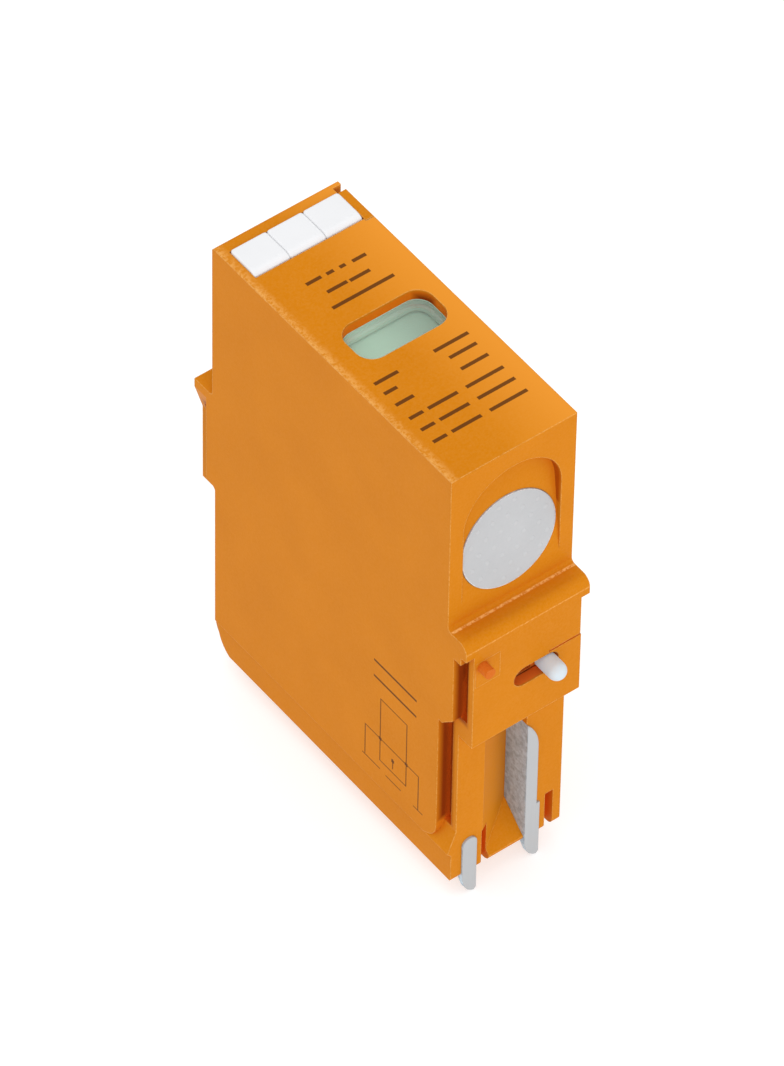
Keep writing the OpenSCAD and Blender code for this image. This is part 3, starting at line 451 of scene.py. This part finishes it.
tinBlade = metalLook(deep=(0.28, 0.38, 0.46), pale=(0.50, 0.64, 0.75), cut=(0.44, 0.45, 0.46),
                     rim=(0.58, 0.59, 0.60), wear=0.4, metal=0.15, rough=0.42, streak=2600.0,
                     mottle=1500.0, round=0.18, bump=0.2)
copperPlate = metalLook(deep=(0.55, 0.23, 0.11), pale=(0.70, 0.32, 0.17), cut=(0.74, 0.36, 0.20),
                        rim=(0.85, 0.50, 0.32), rough=0.35, streak=2200.0, mottle=500.0)
brassArm = metalLook(deep=(0.56, 0.39, 0.12), pale=(0.70, 0.51, 0.19), cut=(0.74, 0.56, 0.24),
                     rim=(0.86, 0.70, 0.38), rough=0.32, streak=2200.0, mottle=600.0)
greySolder = metalLook(deep=(0.46, 0.46, 0.46), pale=(0.64, 0.64, 0.63), cut=(0.62, 0.62, 0.61),
                       rim=(0.75, 0.75, 0.75), rough=0.38, streak=900.0, mottle=2600.0, round=0.2, bump=0.5)
steelRivet = metalLook(deep=(0.40, 0.40, 0.41), pale=(0.52, 0.52, 0.53), cut=(0.56, 0.56, 0.57),
                       rim=(0.72, 0.72, 0.73), rough=0.3, streak=3000.0, mottle=800.0, round=0.15, bump=0.2)

plasticOf = {"cover": ("shellCover", shell), "marker_tag_1": ("tagWhite", whiteTag),
             "grip_disc_front": ("gripGrey", greyGrip), "indicator_slide": ("flagGreen", greenFlag),
             "fault_panel": ("panelRed", redPanel), "saddle": ("saddleBlack", blackSaddle),
             "varistor_a": ("varistorBlue", blueCoat)}
metalOf = {"blade_front": ("bladeTin", tinBlade), "outer_plate_a": ("plateCopper", copperPlate),
           "arm_a": ("armBrass", brassArm), "solder_a": ("solderTin", greySolder),
           "rivet_a": ("rivetSteel", steelRivet)}
sameAs = {"marker_tag_2": "marker_tag_1", "marker_tag_3": "marker_tag_1", "grip_disc_rear": "grip_disc_front",
          "varistor_b": "varistor_a", "blade_rear": "blade_front", "blade_earth": "blade_front",
          "mid_plate": "outer_plate_a", "outer_plate_b": "outer_plate_a", "arm_b": "arm_a",
          "solder_b": "solder_a", "rivet_b": "rivet_a", "trip_spring": "rivet_a"}

# window pane: clear plastic with a grey-green tint, with painted shade darkening it towards +X; cover and the
# shade cover are how much of what lies behind it is hidden at its two ends, and edgeCover along its rim
pane = {"tint": (0.55, 0.71, 0.62), "haze": (0.61, 0.77, 0.67), "shadeTone": (0.32, 0.38, 0.34),
        "rim": (0.80, 0.86, 0.84), "shade": (0.10, 0.07, 0.05), "cover": 0.20, "shadeCover": 0.26,
        "edgeCover": 0.7, "shadeFrom": -2.0, "shadeTo": 5.5, "wear": 0.6, "fleck": 0.7, "fleckNet": 420.0,
        "grain": 1500.0, "patch": 160.0, "rough": 0.3, "swing": (0.04, 0.04), "bump": 0.06, "round": 0.15}


def clearPane(name, look):
    # the tint drifts between two tones and painted shade darkens it along X; the rim, pale as wear and painted
    # highlight, and a few flecks hide more
    finish, tree, shader = newFinish(name)
    grain = placeGroup(tree, mouldGrain, {"Grain scale": look["grain"], "Patch scale": look["patch"]})
    edge = placeGroup(tree, softEdge, {"Radius": look["round"] * mm})
    fleck = placeGroup(tree, strayFleck, {"Net scale": look["fleckNet"]})["Fleck"]
    colour = blendColour(tree, mapTo(tree, grain["Patch"], *noiseSpan), look["tint"], look["haze"])
    alongX = splitAxes(tree, placeIn(tree))[0]
    # painted shade: darker and more covered towards +X
    shadedAlongX = mapTo(tree, alongX, look["shadeFrom"] * mm, look["shadeTo"] * mm)
    colour = blendColour(tree, shadedAlongX, colour, look["shadeTone"])
    colour = blendColour(tree, calc(tree, "MULTIPLY", edge["Edge"], look["wear"]), colour, look["rim"])
    colour = blendColour(tree, calc(tree, "MULTIPLY", fleck, look["fleck"]), colour, look["shade"])
    feed(tree, shader.inputs["Base Color"], colour)
    inside = mapTo(tree, shadedAlongX, 0.0, 1.0, look["cover"], look["shadeCover"])
    hides = mapTo(tree, edge["Edge"], 0.0, 1.0, inside, look["edgeCover"])
    feed(tree, shader.inputs["Alpha"], calc(tree, "MAXIMUM", hides, fleck))
    roughSurface(tree, shader, look, grain["Grain"], grain["Grain"], edge)
    return finish


finishOf = {"housing": mouldedPlastic("shellPrinted", shell, printed=ink, highlightLines=shellHighlightLines, shadeAndColour=shellShadeAndColour),
            "window_lens": clearPane("paneClear", pane),
            "coding_key": mouldedPlastic("keyOrange", keyBlock, tip=keyPinShade),
            "signal_pin": mouldedPlastic("pinGrey", pinSliderShade, tip=pinTip)}
finishOf.update({node: mouldedPlastic(*made) for node, made in plasticOf.items()})
finishOf.update({node: platedMetal(*made) for node, made in metalOf.items()})
for node, other in sameAs.items():
    finishOf[node] = finishOf[other]
for node, solid in nodes.items():
    solid.data.materials.clear()
    solid.data.materials.append(finishOf[node])
dotFinish = mouldedPlastic("dotGrey", gripDot)
print("finishes made:", len(set(finishOf.values())) + 1, "for", len(nodes), "nodes")


def ringFaces(layers, around):
    # walls between neighbouring rings, and a fan to each of the two pole points that follow the rings
    k, i = np.meshgrid(np.arange(layers - 1), np.arange(around), indexing="ij")
    lower, lowerNext = k * around + i, k * around + (i + 1) % around
    walls = np.stack([lower, lowerNext, lowerNext + around, lower + around], -1).reshape(-1, 4)
    ring = np.arange(around)
    after = (ring + 1) % around
    last = (layers - 1) * around
    base = np.stack([after, ring, np.full(around, layers * around)], -1)
    cap = np.stack([last + ring, last + after, np.full(around, layers * around + 1)], -1)
    return walls, base, cap


def meshPiece(name, points, faces, finish):
    mesh = bpy.data.meshes.new(name)
    mesh.from_pydata((points * mm).tolist(), [], faces)
    mesh.polygons.foreach_set("use_smooth", np.ones(len(mesh.polygons), bool))
    mesh.update()
    piece = bpy.data.objects.new(name, mesh)
    piece.data.materials.append(finish)
    bpy.context.scene.collection.objects.link(piece)
    return piece


def surfacePiece(name, rings, finish):
    # rings[k, i] is a grid of points; each ring is closed, and a pole point closes each end
    points = np.vstack([rings.reshape(-1, 3), rings[0].mean(0), rings[-1].mean(0)])
    faces = [face for part in ringFaces(*rings.shape[:2]) for face in part.tolist()]
    return meshPiece(name, points, faces, finish)


def roundedOutline(halfX, halfY, corner, perCorner, alongSide):
    # corner arcs joined by straight sides with evenly spaced points, anticlockwise
    parts = []
    for turn, (sx, sy) in enumerate(((1, 1), (-1, 1), (-1, -1), (1, -1))):
        angle = np.linspace(0, math.pi / 2, perCorner) + turn * math.pi / 2
        centre = np.array([sx * (halfX - corner), sy * (halfY - corner)])
        parts.append(centre + corner * np.stack([np.cos(angle), np.sin(angle)], -1))
    outline = []
    for part, follower in zip(parts, parts[1:] + parts[:1]):
        share = np.linspace(0, 1, alongSide + 2)[1:-1, None]
        outline += [part, part[-1] * (1 - share) + follower[0] * share]
    return np.vstack(outline)


def quarterRound(edge, top, steps):
    # (inset, height) along a quarter circle from the wall to the top
    angle = np.linspace(0, math.pi / 2, steps + 1)[1:]
    return list(zip(edge * (1 - np.cos(angle)), top - edge * (1 - np.sin(angle))))


def stackedRings(halfX, halfY, profile, form):
    # the rounded outline, drawn in by each inset of the profile and set at its height
    rings = []
    for inset, height in profile:
        outline = roundedOutline(halfX - inset, halfY - inset, max(form["corner"] - inset, form["leastCorner"]),
                                 form["perCorner"], form["alongSide"])
        rings.append(np.column_stack([outline, np.full(len(outline), height)]))
    return np.array(rings)


# marker tag: a rounded rectangle carried up its wall, over a quarter round and in to the middle
# of the top; the front of the top falls away as a larger quarter round; seatDepth is how far below
# the top the tag rests on its seat, above the snap foot
tag = {"corner": 0.4, "leastCorner": 0.05, "edge": 0.22, "frontRound": 1.1, "spread": 0.035, "seatDepth": 2.4,
       "roundSteps": 6, "topSteps": 13, "perCorner": 10, "alongSide": 10}


def makeTag(name, node):
    low, high = (np.array(corner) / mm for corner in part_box(node))
    middle = (low + high) / 2
    halfX, halfY = (high[0] - low[0]) / 2 + tag["spread"], (high[1] - low[1]) / 2
    profile = [(0.0, high[2] - tag["seatDepth"]), (0.0, high[2] - tag["edge"])]
    profile += quarterRound(tag["edge"], high[2], tag["roundSteps"])
    rings = stackedRings(halfX, halfY, profile, tag)
    share = np.linspace(1, 0, tag["topSteps"] + 1)[1:-1, None, None]
    inwards = rings[-1] * np.concatenate([share, share, np.ones_like(share)], -1)
    rings = np.concatenate([rings, inwards])
    into = np.clip(tag["frontRound"] - (rings[..., 1] + halfY), 0, tag["frontRound"])
    fall = tag["frontRound"] - np.sqrt(tag["frontRound"] ** 2 - into ** 2)
    rings[1:, :, 2] -= fall[1:]
    rings[..., :2] += middle[:2]
    piece = surfacePiece(name, rings, finishOf[node])
    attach(piece, "module")
    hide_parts(node)


for number in (1, 2, 3):
    makeTag(f"markerTag{number}", f"marker_tag_{number}")
print("marker tags made")

# window pane: a rounded rectangle carried up its wall, over a small quarter round and in to the middle
# of the top and of the underside; it rests just above its ledge
slab = {"corner": 2.16, "leastCorner": 0.1, "inset": 0.02, "lift": 0.04, "edge": 0.12, "roundSteps": 5,
        "underInset": 0.3, "topInsets": (0.3, 0.8, 1.5, 2.2), "perCorner": 14, "alongSide": 8}


def makePane(name, node):
    low, high = (np.array(corner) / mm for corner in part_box(node))
    middle = (low + high) / 2
    halfX, halfY = (high - low)[:2] / 2 - slab["inset"]
    under = low[2] + slab["lift"]
    profile = [(slab["underInset"], under), (0.0, under), (0.0, high[2] - slab["edge"])]
    profile += quarterRound(slab["edge"], high[2], slab["roundSteps"])
    profile += [(inset, high[2]) for inset in slab["topInsets"]]
    rings = stackedRings(halfX, halfY, profile, slab)
    rings[..., :2] += middle[:2]
    piece = surfacePiece(name, rings, finishOf[node])
    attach(piece, "module")
    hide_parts(node)


makePane("windowPane", "window_lens")
print("window pane made")

# grip dots: a staggered field of low domes on each disc; a dome's radius shrinks with the cosine of an
# angle while its height grows with the sine; the disc's face leans back by tilt from a foot line
dots = {"radius": 0.34, "height": 0.03, "sunk": 0.03, "acrossPitch": 2.1, "upPitch": 1.8, "field": 5.7,
        "eachWay": 3, "around": 12, "domeSteps": 3, "front": 22.0, "foot": 5.6, "tilt": 6.06,
        "discHeight": 11.5, "proud": 0.14}


def onDisc(across, rise, out, end):
    # across along X, up the tilted face and out along its normal; end is -1 for the rear disc
    tilt = math.radians(dots["tilt"])
    y = -dots["front"] + rise * math.sin(tilt) - out * math.cos(tilt)
    z = dots["foot"] + rise * math.cos(tilt) + out * math.sin(tilt)
    return np.stack(np.broadcast_arrays(across, end * y, z), -1)


def makeDots(name, end):
    up = (dots["discHeight"] - dots["foot"]) / math.cos(math.radians(dots["tilt"]))
    steps = np.arange(-dots["eachWay"], dots["eachWay"] + 1)
    row, column = np.meshgrid(steps, steps, indexing="ij")
    across = (column + 0.5 * (row % 2)) * dots["acrossPitch"]  # every second row is half a pitch over
    along = row * dots["upPitch"]
    keep = np.hypot(across, along) < dots["field"]
    centres = np.stack([across[keep], along[keep]], -1)[:, None, None]
    angle = np.linspace(0, math.pi / 2, dots["domeSteps"] + 1)[:-1]
    ringRadius = dots["radius"] * np.concatenate([[1.0], np.cos(angle)])
    ringOut = dots["proud"] + np.concatenate([[-dots["sunk"]], dots["height"] * np.sin(angle)])
    turn = np.linspace(0, 2 * math.pi, dots["around"], endpoint=False)
    flat = centres + ringRadius[:, None, None] * np.stack([np.cos(turn), np.sin(turn)], -1)
    rings = onDisc(flat[..., 0], up + flat[..., 1], ringOut[:, None], end)
    poleOut = dots["proud"] + np.array([-dots["sunk"], dots["height"]])
    poles = onDisc(centres[:, 0, :, 0], up + centres[:, 0, :, 1], poleOut, end)
    count, layers, around = rings.shape[:3]
    points = np.concatenate([rings.reshape(count, -1, 3), poles], 1)
    shift = np.arange(count)[:, None, None] * points.shape[1]
    faces = []
    for part in ringFaces(layers, around):
        faces += (part + shift).reshape(-1, part.shape[1]).tolist()
    if end < 0:
        faces = [face[::-1] for face in faces]  # the mirrored field is turned right side out
    piece = meshPiece(name, points.reshape(-1, 3), faces, dotFinish)
    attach(piece, "module")


makeDots("gripDotsFront", 1)
makeDots("gripDotsRear", -1)
print("grip dots made")

floorLook = {"size": 3000.0, "cells": 8, "height": -44.35, "pale": (0.56, 0.56, 0.56),
             "deep": (0.54, 0.54, 0.54), "grain": 900.0, "patch": 12.0, "rough": (0.8, 0.95), "shine": 0.1,
             "glow": 0.55}
floorFinish, tree, shader = newFinish("floorPale")
paper = placeGroup(tree, mouldGrain, {"Grain scale": floorLook["grain"], "Patch scale": floorLook["patch"]})
feed(tree, shader.inputs["Base Color"],
     blendColour(tree, paper["Patch"], floorLook["deep"], floorLook["pale"]))
feed(tree, shader.inputs["Roughness"], mapTo(tree, paper["Grain"], *noiseSpan, *floorLook["rough"]))
shader.inputs["Specular IOR Level"].default_value = floorLook["shine"]
shader.inputs["Emission Color"].default_value = (1.0, 1.0, 1.0, 1.0)
shader.inputs["Emission Strength"].default_value = floorLook["glow"]
across = floorLook["cells"] + 1
reach = np.linspace(-0.5, 0.5, across) * floorLook["size"]
floorX, floorY = np.meshgrid(reach, reach, indexing="ij")
floorPoints = np.stack([floorX, floorY, np.full_like(floorX, floorLook["height"])], -1).reshape(-1, 3)
corner = (np.arange(across - 1)[:, None] * across + np.arange(across - 1)).reshape(-1)
floorFaces = np.stack([corner, corner + across, corner + across + 1, corner + 1], -1).tolist()
floor = meshPiece("studioFloor", floorPoints, floorFaces, floorFinish)

sky = {"colour": (1.0, 1.0, 1.0, 1.0), "strength": 0.82}
world = bpy.data.worlds.new("studioWorld")
world.use_nodes = True
world.node_tree.nodes["Background"].inputs["Color"].default_value = sky["colour"]
world.node_tree.nodes["Background"].inputs["Strength"].default_value = sky["strength"]
bpy.context.scene.world = world

lamps = {"overhead": {"at": (-150.0, 100.0, 900.0), "size": 700.0, "power": 2.5},
         "frontSoft": {"at": (-300.0, -900.0, 420.0), "size": 450.0, "power": 3.1}}


def softLamp(name, look):
    light = bpy.data.lights.new(name, "AREA")
    light.shape = "SQUARE"
    light.size = look["size"] * mm
    light.energy = look["power"]
    lamp = bpy.data.objects.new(name, light)
    bpy.context.scene.collection.objects.link(lamp)
    lamp.location = np.array(look["at"]) * mm
    lamp.rotation_euler = (-lamp.location).to_track_quat("-Z", "Y").to_euler()  # aimed at the origin


for name, look in lamps.items():
    softLamp(name, look)

# camera: its right, down and forward axes and its place in the part's frame; clip is in metres
shot = {"right": (0.79550698, -0.60581881, 0.01233741), "down": (-0.44701859, -0.60048696, -0.66301568),
        "forward": (0.40907582, 0.52191855, -0.74850384), "at": (-478.169, -610.492, 868.325),
        "lens": 347.8, "sensor": 36.0, "clip": (0.01, 50.0)}
camera = bpy.data.cameras.new("photoCamera")
camera.lens = shot["lens"]
camera.sensor_width = shot["sensor"]
camera.clip_start, camera.clip_end = shot["clip"]
cameraObject = bpy.data.objects.new("photoCamera", camera)
bpy.context.scene.collection.objects.link(cameraObject)
axes = np.stack([shot["right"], -np.array(shot["down"]), -np.array(shot["forward"])], -1)
cameraObject.matrix_world = Matrix.Translation(np.array(shot["at"]) * mm) @ Matrix(axes.tolist()).to_4x4()
bpy.context.scene.camera = cameraObject
bpy.context.scene.view_settings.view_transform = "Standard"
print("camera and light set")
